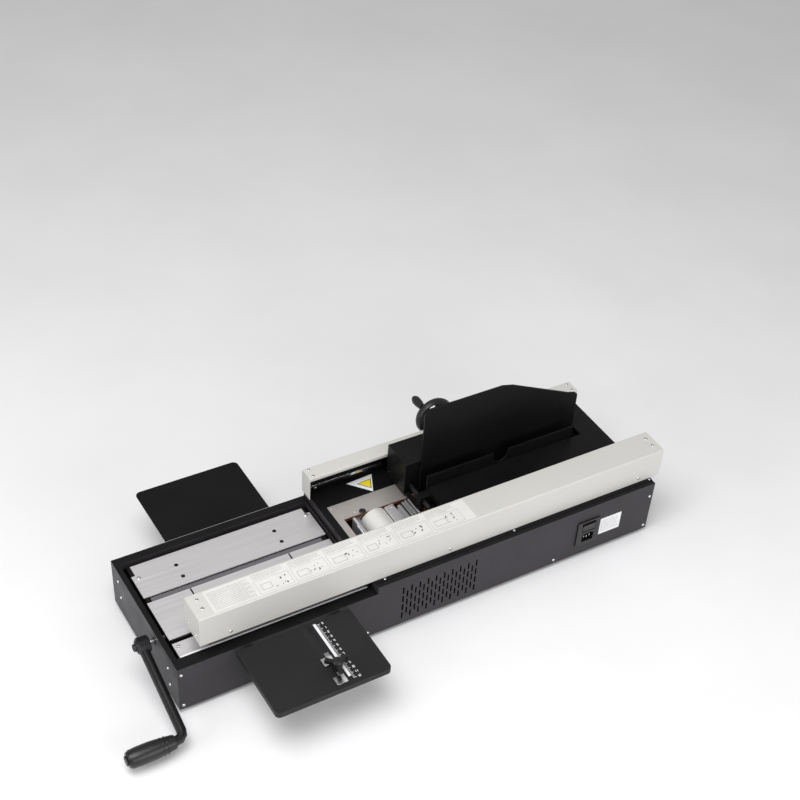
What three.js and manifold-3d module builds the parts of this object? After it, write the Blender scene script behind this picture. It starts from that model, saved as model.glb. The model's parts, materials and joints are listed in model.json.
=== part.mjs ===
// Desktop perfect binder: clamp carriage, glue unit, nip table and crank.
// Millimetres, +X right along the machine, +Y back, +Z up.
import * as THREE from "three";
import { mergeVertices } from "three/addons/utils/BufferGeometryUtils.js";
import Module from "manifold-3d";

const wasm = await Module();
wasm.setup();

// Body
const BODY_L = 904;
const BODY_W = 260;
const RIM_Z = 93;
const DECK_Z = 107;
const STEP_X = 346;
const SHEET = 1.5;
const FOOT_H = 8;
const GAP = 0.3;
const WELL = [9, 341.5, 21, 245];

// Rail covers
const FRONT_COVER = [45, 922, 14.7, 69.7, 108.6, 166.6];
const REAR_COVER = [342, 890, 231.5, 260, 107.3, 154];
const ROD_Y = 42;
const ROD_Z = 138;
const ROD_R = 8;

// Nip table
const PLATE_TOP = 88;
const PLATE_T = 2.5;
const REAR_EDGE_Y = 164.5;
const FRONT_EDGE_Y = 152;
const GAP_X = [89, 262.5];
const PLATE_X = [16, 338];
const LIFT = 20;
const POST_X = [40, 318];
const POST_Y = [108, 226];
const POST_R = 5;
const TONGUE_X = [130, 222];

// Crank
const CRANK_Y = 88.6;
const CRANK_Z = 72;
const CRANK_RANGE = 150;
const CRANK_END_Y = -65;
const CRANK_END_Z = 18;
const ARM_X = -20;
const ARM_R = 8;
const SHAFT_R = 4.5;
const CAM_R = 5.5;
const CAM_X = [70, 290];

// Glue unit
const GLUE_OPEN = [366, 510, 100, 163];
const SPINE_Z = 110;
const ROLLER_X = 428;
const ROLLER_R = 25;
const ROLLER_Z = SPINE_Z - ROLLER_R;
const KNOB_AT = [408, 166.5];
const CUTTER_X = 488;
const CUTTER_R = 21.5;
const CUTTER_Z = SPINE_Z - CUTTER_R;
const GEAR_MODULE = 1.6;
const GEAR_TEETH = 24;
const PINION_TEETH = 12;
const PINION_Z = ROLLER_Z - (GEAR_MODULE * (GEAR_TEETH + PINION_TEETH)) / 2 - 0.2;

// Carriage and clamp
const CARRIAGE = [538, 868, 127, 228, 111, 114];
const JAW_X = [514, 812];
const JAW_OPEN = 24;
const JAW_TOP = 167.5;
const BACK_X = [517, 833];
const BACK_TOP = [288, 219];
const SHELF_X = [515, 868];
const SHELF_Y = 84;
const SHELF_Z = 142;
const DRIVE_BOX = [489, 625, 169, 228.5, 114.3, 178];
const SPINDLE_X = 503;
const SPINDLE_Z = 126;
const GUIDE_X = 846;
const WHEEL_X = 606;
const WHEEL_Z = 167;
const WHEEL_R = 36;
const WHEEL_Y = 266;
const ROLLER_ARM_X = 852;
const TRACK_Z = 131;
const TRACK_WHEEL_R = 7;
const TRACK_WHEEL_Z = TRACK_Z + TRACK_WHEEL_R + 0.3;
const PULLEY_R = 6.5;

// Wings
const REAR_WING = [95, 282, 264, 393];
const FRONT_WING = [95, 291, -143.5, -4];
const WING_TOP = 91;
const WING_T = 2;
const SLOT_X = 215;
const KNOB_Y = -106;

const paint = (name, color, metalness = 0.2, roughness = 0.5) =>
  new THREE.MeshStandardMaterial({ name, color, metalness, roughness });

const LOOKS = {
  black: () => paint("black_paint", 0x242328, 0.1, 0.5),
  grey: () => paint("light_paint", 0xd9d7d2, 0.1, 0.45),
  steel: () => paint("stainless", 0xb9b6b5, 0.9, 0.35),
  bright: () => paint("bright_steel", 0xc9c9cc, 1, 0.2),
  cast: () => paint("cast_aluminium", 0x9a9a98, 0.7, 0.55),
  rubber: () => paint("rubber", 0x161616, 0, 0.9),
  plastic: () => paint("black_plastic", 0x1a1a1c, 0, 0.45),
  phenolic: () => paint("phenolic", 0x6e2d1e, 0, 0.5),
  white: () => paint("coated_drum", 0xe2e1de, 0.1, 0.3),
  brass: () => paint("brass", 0xb08d4c, 0.9, 0.35),
  board: () => paint("circuit_board", 0x1f5a38, 0.1, 0.6),
};

const root = new THREE.Group();
root.name = "perfect_binder";

// Which row axes a profile's two coordinates and its extrusion run along.
const BASIS = {
  x: [new THREE.Vector3(0, 1, 0), new THREE.Vector3(0, 0, 1), new THREE.Vector3(1, 0, 0)],
  y: [new THREE.Vector3(0, 0, 1), new THREE.Vector3(1, 0, 0), new THREE.Vector3(0, 1, 0)],
  z: [new THREE.Vector3(1, 0, 0), new THREE.Vector3(0, 1, 0), new THREE.Vector3(0, 0, 1)],
};

function solid(geometry) {
  const bare = new THREE.BufferGeometry();
  const flat = geometry.index ? geometry.toNonIndexed() : geometry;
  bare.setAttribute("position", flat.getAttribute("position"));
  const merged = mergeVertices(bare, 1e-4);
  const at = merged.attributes.position;
  const kept = [];
  let volume = 0;
  const p = [new THREE.Vector3(), new THREE.Vector3(), new THREE.Vector3()];
  for (let i = 0; i < merged.index.count; i += 3) {
    const ids = [0, 1, 2].map((k) => merged.index.getX(i + k));
    if (ids[0] === ids[1] || ids[1] === ids[2] || ids[2] === ids[0]) continue;
    ids.forEach((id, k) => p[k].fromBufferAttribute(at, id));
    volume += p[0].dot(p[1].clone().cross(p[2]));
    kept.push(ids);
  }
  if (volume < 0) kept.forEach((ids) => ids.reverse());
  const mesh = new wasm.Mesh({
    numProp: 3,
    vertProperties: new Float32Array(at.array),
    triVerts: new Uint32Array(kept.flat()),
  });
  return new wasm.Manifold(mesh);
}

// A straight prism of a profile, from a0 to a1 along an axis.
function prism(axis, points, a0, a1) {
  const shape = new THREE.Shape(points.map(([u, v]) => new THREE.Vector2(u, v)));
  const geometry = new THREE.ExtrudeGeometry(shape, { depth: a1 - a0, bevelEnabled: false, steps: 1 });
  const along = BASIS[axis][2].clone().multiplyScalar(a0);
  const place = new THREE.Matrix4().makeBasis(...BASIS[axis]).setPosition(along);
  return solid(geometry.applyMatrix4(place));
}

function box(x0, x1, y0, y1, z0, z1) {
  const geometry = new THREE.BoxGeometry(x1 - x0, y1 - y0, z1 - z0);
  return solid(geometry.translate((x0 + x1) / 2, (y0 + y1) / 2, (z0 + z1) / 2));
}

function ring(r, count, u = 0, v = 0, turn = 0) {
  const points = [];
  for (let i = 0; i < count; i++) {
    const a = turn + (2 * Math.PI * i) / count;
    points.push([u + r * Math.cos(a), v + r * Math.sin(a)]);
  }
  return points;
}

// A rod along an axis; u and v are its centre in that axis's profile plane.
const rod = (axis, r, a0, a1, u, v, count = 24) => prism(axis, ring(r, count, u, v), a0, a1);

// A rectangle with cut or rounded corners in a profile plane.
function rounded(u0, u1, v0, v1, radii, steps = 4) {
  const corners = [
    [u1, v1, 0],
    [u0, v1, 1],
    [u0, v0, 2],
    [u1, v0, 3],
  ];
  const points = [];
  corners.forEach(([u, v, quarter], i) => {
    const r = radii[i];
    if (!r) {
      points.push([u, v]);
      return;
    }
    const cu = u + (quarter === 0 || quarter === 3 ? -r : r);
    const cv = v + (quarter < 2 ? -r : r);
    for (let k = 0; k <= steps; k++) {
      const a = (quarter + k / steps) * (Math.PI / 2);
      points.push([cu + r * Math.cos(a), cv + r * Math.sin(a)]);
    }
  });
  return points;
}

// A turned body: the profile is pairs of radius and distance along the axis, from axis to axis.
function turned(axis, profile, u, v, count = 28) {
  const points = profile.map(([r, a]) => new THREE.Vector2(r, a));
  const geometry = new THREE.LatheGeometry(points, count);
  const [pu, pv, along] = BASIS[axis];
  const place = new THREE.Matrix4().makeBasis(pv, along, pu);
  const shift = pu.clone().multiplyScalar(u).add(pv.clone().multiplyScalar(v));
  return solid(geometry.applyMatrix4(place).translate(shift.x, shift.y, shift.z));
}

const union = (...parts) => parts.flat().reduce((a, b) => a.add(b));
const cut = (from, ...tools) => tools.flat().reduce((a, b) => a.subtract(b), from);

function piece(name, made, look) {
  const data = made.getMesh();
  const geometry = new THREE.BufferGeometry();
  const n = data.numProp;
  const points = new Float32Array(data.numVert * 3);
  for (let i = 0; i < data.numVert; i++) {
    points.set(data.vertProperties.subarray(i * n, i * n + 3), i * 3);
  }
  geometry.setAttribute("position", new THREE.BufferAttribute(points, 3));
  geometry.setIndex(new THREE.BufferAttribute(new Uint32Array(data.triVerts), 1));
  const mesh = new THREE.Mesh(geometry, LOOKS[look]());
  mesh.name = name;
  root.add(mesh);
}

// Gear blank with straight-sided teeth; the first tooth's centre is at the given angle.
function gearProfile(teeth, module, u, v, turn) {
  const pitch = (module * teeth) / 2;
  const step = (2 * Math.PI) / teeth;
  const points = [];
  for (let i = 0; i < teeth; i++) {
    const a = turn + i * step;
    const tooth = [
      [pitch - 1.15 * module, -0.27],
      [pitch + 0.85 * module, -0.1],
      [pitch + 0.85 * module, 0.1],
      [pitch - 1.15 * module, 0.27],
    ];
    for (const [r, share] of tooth) {
      points.push([u + r * Math.cos(a + share * step), v + r * Math.sin(a + share * step)]);
    }
  }
  return points;
}

// ---- Fixed body ----

function ventSlots() {
  const slots = [];
  for (let column = 0; column < 19; column++) {
    const odd = column % 2;
    const x = 394 + column * 7.8;
    for (let row = 0; row < 4 - odd; row++) {
      const z = 77.5 - (row + odd / 2) * 19.4;
      slots.push(box(x - 1.6, x + 1.6, -1, SHEET + 1, z - 7.2, z + 7.2));
    }
  }
  return slots;
}

function bodyShell() {
  const outer = union(
    box(0, STEP_X + 1, 0, BODY_W, 0, RIM_Z),
    box(STEP_X, BODY_L, 0, BODY_W, 0, DECK_Z),
  );
  const [x0, x1, y0, y1] = WELL;
  const low = box(SHEET, BODY_L - SHEET, SHEET, BODY_W - SHEET, -1, RIM_Z - SHEET);
  const high = box(STEP_X + SHEET, BODY_L - SHEET, SHEET, BODY_W - SHEET, 10, DECK_Z - SHEET);
  const skirt = cut(
    box(x0 - SHEET, x1 + SHEET, y0 - SHEET, y1 + SHEET, 80, RIM_Z - SHEET / 2),
    box(x0, x1, y0, y1, 70, 100),
  );
  const hollow = cut(outer, low, high, box(x0, x1, y0, y1, 80, 100));
  const glueHole = box(364, 512, 97, 198, 100, 120);
  const inletHole = box(745.5, 786.5, -1, 3, 25.5, 74.5);
  const shaftHole = rod("x", 6.5, -1, 3, CRANK_Y, CRANK_Z);
  piece("body_shell", cut(union(hollow, skirt), glueHole, inletHole, shaftHole, ventSlots()), "black");
}

function basePlate() {
  const plate = box(2, BODY_L - 2, 2, BODY_W - 2, 0, 2);
  const posts = POST_X.flatMap((x) => POST_Y.map((y) => rod("z", POST_R, 1, 84.5, x, y, 20)));
  const pedestals = [402, 446].map((x) => box(x, x + 8, 116, 162, 1, 35.6));
  const gearStand = cut(box(404, 452, 181, 186, 1, 72), rod("y", 7, 170, 200, PINION_Z, ROLLER_X));
  piece("base_plate", union(plate, posts, pedestals, gearStand), "black");
}

function feet() {
  const profile = [
    [0, -FOOT_H],
    [11, -FOOT_H],
    [12.5, -FOOT_H + 1.5],
    [13.5, -GAP],
    [0, -GAP],
  ];
  for (const [side, y] of [["front", 34], ["rear", 226]]) {
    for (const [end, x] of [["left", 40], ["right", 864]]) {
      piece(`foot_${side}_${end}`, turned("z", profile, x, y, 20), "rubber");
    }
  }
}

function railCover(name, [x0, x1, y0, y1, z0, z1], openSide, lipZ) {
  const outer = prism("x", rounded(y0, y1, z0, z1, [2, 2, 0, 0], 2), x0, x1);
  const inner = box(x0 + SHEET, x1 - SHEET, y0 + SHEET, y1 - SHEET, z0 - 1, z1 - SHEET);
  const mouthY = openSide > 0 ? [y1 - 3, y1 + 1] : [y0 - 1, y0 + 3];
  const mouth = box(x0 + SHEET, x1 - SHEET, mouthY[0], mouthY[1], z0 - 1, lipZ);
  piece(name, cut(outer, inner, mouth), "grey");
}

function rails() {
  railCover("front_rail_cover", FRONT_COVER, 1, 134);
  railCover("rear_rail_cover", REAR_COVER, -1, 147);
  piece("front_guide_rod", rod("x", ROD_R, 48, 919, ROD_Y, ROD_Z), "bright");
  const bracket = (x, floor) =>
    cut(box(x, x + 14, 22, 62, floor, 152), rod("x", ROD_R + GAP, x - 1, x + 15, ROD_Y, ROD_Z));
  const leftFoot = box(52, 66, 34, 56, PLATE_TOP + GAP, 109);
  piece("rod_bracket_left", union(bracket(52, 108.9), leftFoot), "cast");
  piece("rod_bracket_right", bracket(886, 108.9), "cast");
  const stripTop = FRONT_COVER[4] - GAP;
  piece("cover_support_strip", box(STEP_X, BODY_L, 9, 66, DECK_Z + GAP, stripTop), "black");
  piece("rear_rail_wall", box(348, 886, 247.3, 250, DECK_Z + GAP, 150), "black");
  piece("rear_guide_rail", box(349, 885, 238, 247, TRACK_Z - 5, TRACK_Z), "bright");
}

function nipStrip() {
  const [x0, x1] = PLATE_X;
  const strip = box(x0, x1, 24.5, 56.5, PLATE_TOP - PLATE_T, PLATE_TOP);
  const hem = box(x0, x1, 22, 25, PLATE_TOP - PLATE_T, PLATE_TOP + 1.5);
  piece("front_nip_strip", union(strip, hem), "steel");
}

// ---- Crank and nip table ----

function camProfile() {
  const points = [];
  const span = (CRANK_RANGE * Math.PI) / 180;
  for (let i = 0; i <= 20; i++) {
    const a = (span * i) / 20;
    const r = CAM_R + (LIFT * i) / 20;
    points.push([CRANK_Y - r * Math.sin(a), CRANK_Z + r * Math.cos(a)]);
  }
  for (let i = 1; i < 12; i++) {
    const a = span + ((2 * Math.PI - span) * i) / 12;
    const r = CAM_R + LIFT * Math.max(0, 1 - i / 5);
    points.push([CRANK_Y - r * Math.sin(a), CRANK_Z + r * Math.cos(a)]);
  }
  return points.reverse();
}

function crank() {
  const cams = CAM_X.map((x) => prism("x", camProfile(), x - 5, x + 5));
  const collars = CAM_X.map((x) => rod("x", 7, x + 5, x + 12, CRANK_Y, CRANK_Z - 0.5));
  piece("crank_shaft", union(rod("x", SHAFT_R, -10, 306, CRANK_Y, CRANK_Z), cams, collars), "bright");

  const hub = turned(
    "x",
    [
      [0, -29],
      [11, -29],
      [14, -26],
      [14, -10.5],
      [12, -8.5],
      [6, -8.5],
      [6, -10 - GAP],
      [0, -10 - GAP],
    ],
    CRANK_Y,
    CRANK_Z,
  );
  const dy = CRANK_END_Y - CRANK_Y;
  const dz = CRANK_END_Z - CRANK_Z;
  const long = Math.hypot(dy, dz);
  const bend = 14;
  const near = new THREE.Vector3(ARM_X, CRANK_Y, CRANK_Z);
  const corner = new THREE.Vector3(ARM_X, CRANK_END_Y, CRANK_END_Z);
  const turnStart = near.clone().lerp(corner, (long - bend) / long);
  const turnEnd = new THREE.Vector3(ARM_X - bend, CRANK_END_Y, CRANK_END_Z);
  const path = new THREE.CurvePath();
  path.add(new THREE.LineCurve3(near, turnStart));
  path.add(new THREE.QuadraticBezierCurve3(turnStart, corner, turnEnd));
  const round = new THREE.Shape(ring(ARM_R, 16).map(([u, v]) => new THREE.Vector2(u, v)));
  const tube = solid(new THREE.ExtrudeGeometry(round, { steps: 24, bevelEnabled: false, extrudePath: path }));
  const pin = rod("x", 4, -112, ARM_X - bend + 1, CRANK_END_Y, CRANK_END_Z, 16);
  const cap = rod("x", 8, -113.5, -111, CRANK_END_Y, CRANK_END_Z, 16);
  piece("crank_arm", union(hub, tube, pin, cap), "black");

  const barrel = [
    [12, -110.6],
    [14.5, -106],
    [15.5, -92],
    [15.2, -70],
    [13.2, -50],
    [11.6, -38],
    [10.5, -35],
    [4.4, -35],
    [4.4, -110.6],
    [12, -110.6],
  ];
  piece("crank_grip", turned("x", barrel, CRANK_END_Y, CRANK_END_Z), "plastic");
}

function nipTable() {
  const [x0, x1] = PLATE_X;
  const top = PLATE_TOP - PLATE_T - GAP;
  const beams = CAM_X.flatMap((x) => [
    box(x - 9, x + 9, 66, 97.5, 80.8, top),
    box(x - 9, x + 9, 178, 240, 80.8, top),
  ]);
  const rails = [
    box(x0 + 2, x1 - 2, 66, 74, 80.8, top),
    box(x0 + 2, x1 - 2, 178, 196, 80.8, top),
    box(x0 + 2, x1 - 2, 230, 240, 80.8, top),
    box(x0 + 2, x0 + 8, 66, 240, 80.8, top),
    box(x1 - 8, x1 - 2, 66, 240, 80.8, top),
  ];
  const crossbars = TONGUE_X.map((x) => box(x - 10, x + 10, 66, 240, 77.5, top));
  const columns = POST_X.flatMap((x) => POST_Y.map((y) => rod("z", 10, 50, 84, x, y, 20)));
  const links = POST_X.flatMap((x) => {
    const [a, b] = x < STEP_X / 2 ? [x0 + 2, x] : [x, x1 - 2];
    return POST_Y.map((y) => box(a, b, y - 5, y + 5, 80.8, top));
  });
  const bores = POST_X.flatMap((x) => POST_Y.map((y) => rod("z", POST_R + GAP, 40, 90, x, y, 20)));
  // Channels for the front slider's tongues and bridge, and a groove for the platen.
  const channels = TONGUE_X.map((x) => box(x - 8, x + 8, 60, 150, 80.4, 90));
  const bridgeWay = box(53, 307, 98, 119, 80.4, 90);
  const groove = box(25.5, 328.5, FRONT_EDGE_Y + 0.8, REAR_EDGE_Y - 0.4, 80.4, 90);
  const frame = union(beams, rails, crossbars, columns, links);
  piece("nip_table", cut(frame, bores, channels, bridgeWay, groove), "black");

  const plate = box(x0, x1, REAR_EDGE_Y, 238, PLATE_TOP - PLATE_T, PLATE_TOP);
  const notches = [box(x0 - 1, x0 + 7, 216, 239, 80, 90), box(x1 - 8, x1 + 1, 224, 239, 80, 90)];
  piece("rear_nip_plate", cut(plate, notches), "steel");
  piece("spine_platen", box(26, 328, FRONT_EDGE_Y + 1.2, REAR_EDGE_Y - 0.8, 81, 84.8), "cast");
}

function frontPlates() {
  const [x0, x1] = PLATE_X;
  const low = PLATE_TOP - PLATE_T;
  const tongues = TONGUE_X.map((x) => box(x - 7, x + 7, 78, 128, 81, low - GAP));
  const bridge = box(56, 304, 100, 106, 81, low - GAP);
  piece("front_nip_slider", union(bridge, tongues), "bright");
  const spans = [
    ["left", x0, GAP_X[0] - 1.3],
    ["centre", GAP_X[0] + 1.3, GAP_X[1] - 1.3],
    ["right", GAP_X[1] + 1.3, x1],
  ];
  for (const [side, a, b] of spans) {
    piece(`front_nip_plate_${side}`, box(a, b, 66, FRONT_EDGE_Y, low, PLATE_TOP), "steel");
  }
}

// ---- Glue unit ----

function glueUnit() {
  const [x0, x1, y0, y1] = GLUE_OPEN;
  const sheet = box(359, 516, 92, 201, DECK_Z + GAP, DECK_Z + 1.3);
  const knobHole = rod("z", 3.2, 90, 120, ...KNOB_AT, 16);
  piece("glue_cover_plate", cut(sheet, box(x0 + 5, x1, y0, y1, 100, 120), knobHole), "steel");

  const frame = cut(
    box(x0, x1 + 1, y0 - 2, y1 + 5, 102, DECK_Z),
    box(x0 + 6, x1 - 4, y0 + 3, y1 - 0.5, 90, 120),
    knobHole,
  );
  piece("glue_frame", frame, "phenolic");

  const tank = cut(
    box(394, 461, 110, 168, 46, 101),
    box(399, 457, 114, 164, 51, 110),
    rod("y", 6.3, 100, 180, ROLLER_Z, ROLLER_X),
  );
  piece("glue_tank", tank, "cast");
  piece("heater_plate", box(398, 457, 114, 164, 36, 45.7), "brass");

  const drum = rod("y", ROLLER_R, 116, 162, ROLLER_Z, ROLLER_X, 40);
  const axle = rod("y", 6, 106, 180, ROLLER_Z, ROLLER_X, 20);
  piece("glue_roller", union(drum, axle), "white");
  const gear = prism("y", gearProfile(GEAR_TEETH, GEAR_MODULE, ROLLER_Z, ROLLER_X, 0), 171, 179);
  piece("roller_gear", gear.subtract(rod("y", 6.3, 160, 190, ROLLER_Z, ROLLER_X, 20)), "brass");
  const half = Math.PI / PINION_TEETH;
  const pinion = prism("y", gearProfile(PINION_TEETH, GEAR_MODULE, PINION_Z, ROLLER_X, half), 171, 179);
  piece("motor_pinion", union(pinion, rod("y", 4, 178, 188, PINION_Z, ROLLER_X, 20)), "bright");
  const motor = union(
    rod("y", 20, 188.5, 238, PINION_Z, ROLLER_X, 28),
    box(ROLLER_X - 22, ROLLER_X + 22, 196, 206, 2.4, PINION_Z),
  );
  piece("glue_motor", motor, "cast");

  const scraper = union(box(455.5, 463.5, 108, 162, 101.3, 106.5), box(447, 456, 116, 161, 103, 106.5));
  piece("scraper_bar", scraper, "steel");
  const wiper = union(box(386, 391, 105, 161, 60, 106.5), box(378, 387, 105, 161, 60, 64));
  piece("wiper_bar", wiper, "steel");
  const knob = turned(
    "z",
    [
      [0, 101.5],
      [2.5, 101.5],
      [2.5, 108.6],
      [6, 108.6],
      [6, 109.8],
      [5, 110.5],
      [0, 110.5],
    ],
    ...KNOB_AT,
    20,
  );
  piece("scraper_knob", knob, "plastic");

  const teeth = [];
  for (let i = 0; i < 20; i++) {
    const a = (2 * Math.PI * i) / 20;
    teeth.push([CUTTER_Z + CUTTER_R * Math.cos(a), CUTTER_X + CUTTER_R * Math.sin(a)]);
    const b = a + 0.2;
    teeth.push([CUTTER_Z + (CUTTER_R - 3) * Math.cos(b), CUTTER_X + (CUTTER_R - 3) * Math.sin(b)]);
  }
  const shaft = rod("y", 5, 108, 176, CUTTER_Z, CUTTER_X, 20);
  piece("milling_cutter", union(prism("y", teeth, 122, 160), shaft), "bright");
  const frontPlate = box(466, 512, 176.5, 180, 2.4, 104);
  const can = rod("y", 15.5, 179, 232, CUTTER_Z, CUTTER_X, 28);
  const saddle = box(480, 496, 186, 226, 2.4, CUTTER_Z - 10);
  const seat = rod("y", 5.4, 170, 178.5, CUTTER_Z, CUTTER_X, 20);
  piece("milling_motor", cut(union(frontPlate, can, saddle), seat), "cast");
}

// ---- Carriage ----

function carriageDeck() {
  const [x0, x1, y0, y1, z0, z1] = CARRIAGE;
  const plate = union(
    box(x0, x1, y0, y1, z0, z1),
    box(489, x0 + 1, 166, y1, z0, z1),
    box(491, x0 + 1, y0, y0 + 8, z0, z1),
    box(491, 500, y0, 167, z0, z1),
    box(550, 590, 26, y0 + 1, z0, z1),
    box(828, 868, 26, y0 + 1, z0, z1),
  );
  const throat = box(507, 841, 123.5, 168.5, z0 - 1, z1 + 1);
  const lip = box(505, 843, 118, 124, z0, z1);
  const upstand = union(box(840, 864, 225, 228, z1 - 1, 147), box(630, 836, 218, 228, z1 - 1, z1 + 14));
  const axleHole = rod("y", 4.3, 220, 232, TRACK_WHEEL_Z, ROLLER_ARM_X, 16);
  const made = cut(union(plate, lip, upstand), throat, axleHole);
  piece("carriage_deck", made, "black");
  for (const [side, x] of [["left", 550], ["right", 828]]) {
    const block = box(x, x + 40, 25, 59, z1 + GAP, 154);
    const bore = rod("x", ROD_R + 0.25, x - 1, x + 41, ROD_Y, ROD_Z);
    piece(`slide_bearing_${side}`, cut(block, bore), "cast");
  }
  const wheel = rod("y", TRACK_WHEEL_R, 239, 246, TRACK_WHEEL_Z, ROLLER_ARM_X, 28);
  const axle = rod("y", 4, 222, 240, TRACK_WHEEL_Z, ROLLER_ARM_X, 16);
  piece("support_roller", union(wheel, axle), "rubber");
}

function clamp() {
  const y = REAR_EDGE_Y;
  const outline = [
    [BACK_X[0], 114.4],
    [BACK_X[1], 114.4],
    [BACK_X[1], BACK_TOP[1] - 6],
    [BACK_X[1] - 6, BACK_TOP[1]],
    [BACK_X[1] - 20, BACK_TOP[1] + 4],
    [690, BACK_TOP[0] - 6],
    [668, BACK_TOP[0]],
    [BACK_X[0] + 8, BACK_TOP[0]],
    [BACK_X[0], BACK_TOP[0] - 8],
  ];
  const back = prism("y", outline.map(([x, z]) => [z, x]), y, y + 3.5);
  const foot = box(640, 832, y + 3, y + 26, 114.4, 118.4);
  const ribs = [660, 740, 812].map((x) =>
    prism("x", [[y + 3, 118], [y + 24, 118], [y + 3, 200]], x - 1.5, x + 1.5));
  piece("rear_jaw", union(back, foot, ribs), "black");

  const front = y - JAW_OPEN;
  const face = prism("y", rounded(114.4, JAW_TOP, JAW_X[0], JAW_X[1], [3, 3, 0, 0], 2), front - 3.5, front);
  const notch = union(
    rod("y", 15, 100, 180, JAW_TOP - 7, 661, 24),
    box(646, 676, 100, 180, JAW_TOP - 7, JAW_TOP + 5),
  );
  const bar = box(494, 856, front - 16, front - 3, 116, 136);
  const shelf = [
    box(SHELF_X[0], SHELF_X[1], SHELF_Y, front - 3, SHELF_Z - SHEET, SHELF_Z),
    box(SHELF_X[0], SHELF_X[0] + SHEET, SHELF_Y, front - 3, 130, SHELF_Z),
    box(SHELF_X[0], BACK_X[1], SHELF_Y, SHELF_Y + SHEET, 136.5, SHELF_Z),
  ];
  const bores = [
    rod("y", 5.3, 100, 180, SPINDLE_Z, SPINDLE_X, 20),
    rod("y", 4.3, 100, 180, SPINDLE_Z, GUIDE_X, 20),
  ];
  piece("front_jaw", cut(union(face, bar, shelf), notch, bores), "black");

  const endTop = SHELF_Z - SHEET - 0.5;
  const endLid = box(BACK_X[1] + 1.5, SHELF_X[1], 90, 221, endTop - 1.8, endTop);
  const endWall = box(SHELF_X[1] - SHEET, SHELF_X[1], 90, 221, CARRIAGE[5] + GAP, endTop);
  piece("clamp_end_cover", union(endLid, endWall), "black");

  const [bx0, bx1, by0, by1, bz0, bz1] = DRIVE_BOX;
  const cover = cut(
    prism("x", rounded(by0, by1, bz0, bz1, [1.5, 1.5, 0, 0], 2), bx0, bx1),
    box(bx0 + 2, bx1 - 2, by0 + 2, by1 - 2, bz0 - 1, bz1 - 2),
    rod("y", 6.5, by0 - 1, by0 + 3, SPINDLE_Z, SPINDLE_X, 20),
    rod("y", 6.5, by1 - 3, by1 + 1, WHEEL_Z, WHEEL_X, 20),
  );
  piece("clamp_drive_box", cover, "black");

  const screw = union(
    rod("y", 5, front - 36, 222, SPINDLE_Z, SPINDLE_X, 20),
    rod("y", PULLEY_R, 200, 214, SPINDLE_Z, SPINDLE_X, 24),
  );
  piece("clamp_spindle", screw, "bright");
  const guide = rod("y", 4, front - 36, 214, SPINDLE_Z, GUIDE_X, 20);
  const guideSeat = box(GUIDE_X - 8, GUIDE_X + 8, 200, 214, 114.4, 134);
  piece("jaw_guide_rod", union(guide, guideSeat), "bright");
  piece("drive_belt", beltLoop(), "rubber");

  const section = [
    [29, 0],
    [34, -1.5],
    [WHEEL_R, 3.5],
    [WHEEL_R, 6.5],
    [34, 11],
    [29, 9.5],
    [29, 0],
  ];
  const rim = turned("y", section.map(([r, a]) => [r, a + WHEEL_Y]), WHEEL_Z, WHEEL_X, 40);
  const web = rod("y", 30, WHEEL_Y + 3, WHEEL_Y + 7, WHEEL_Z, WHEEL_X, 32);
  const hub = rod("y", 12, WHEEL_Y - 2, WHEEL_Y + 12, WHEEL_Z, WHEEL_X, 24);
  const holes = [0, 1, 2].map((i) => {
    const a = (2 * Math.PI * (i + 0.125)) / 3 + Math.PI / 2;
    return rod("y", 6.5, 200, 300, WHEEL_Z + 20.5 * Math.cos(a), WHEEL_X + 20.5 * Math.sin(a), 16);
  });
  const shaft = rod("y", 5, 190, WHEEL_Y, WHEEL_Z, WHEEL_X, 20);
  const pinAt = gripCentre();
  const pin = union(
    rod("y", 3, WHEEL_Y + 4, WHEEL_Y + 40, pinAt[0], pinAt[1], 16),
    rod("y", 4.5, WHEEL_Y + 39, WHEEL_Y + 41, pinAt[0], pinAt[1], 16),
  );
  const drive = rod("y", PULLEY_R, 200, 214, WHEEL_Z, WHEEL_X, 24);
  piece("handwheel", union(cut(union(rim, web, hub), holes), shaft, drive, pin), "plastic");
  const grip = [
    [5.5, WHEEL_Y + 11.5],
    [7.5, WHEEL_Y + 24],
    [7.8, WHEEL_Y + 33],
    [6, WHEEL_Y + 38.5],
    [3.4, WHEEL_Y + 38.5],
    [3.4, WHEEL_Y + 11.5],
    [5.5, WHEEL_Y + 11.5],
  ];
  piece("handwheel_grip", turned("y", grip, pinAt[0], pinAt[1], 24), "plastic");
}

function gripCentre() {
  return [WHEEL_Z + 21.5, WHEEL_X - 21.5];
}

// A flat loop round the two pulleys of the clamp drive.
function beltLoop() {
  const loop = (r) => {
    const du = SPINDLE_Z - WHEEL_Z;
    const dv = SPINDLE_X - WHEEL_X;
    const heading = Math.atan2(dv, du);
    const points = [];
    for (let i = 0; i <= 12; i++) {
      const a = heading + Math.PI / 2 + (Math.PI * i) / 12;
      points.push([WHEEL_Z + r * Math.cos(a), WHEEL_X + r * Math.sin(a)]);
    }
    for (let i = 0; i <= 12; i++) {
      const a = heading - Math.PI / 2 + (Math.PI * i) / 12;
      points.push([SPINDLE_Z + r * Math.cos(a), SPINDLE_X + r * Math.sin(a)]);
    }
    return points;
  };
  return prism("y", loop(PULLEY_R + 1.8), 202, 212).subtract(prism("y", loop(PULLEY_R + GAP), 200, 214));
}

// ---- Wings, guide and electrics ----

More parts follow.
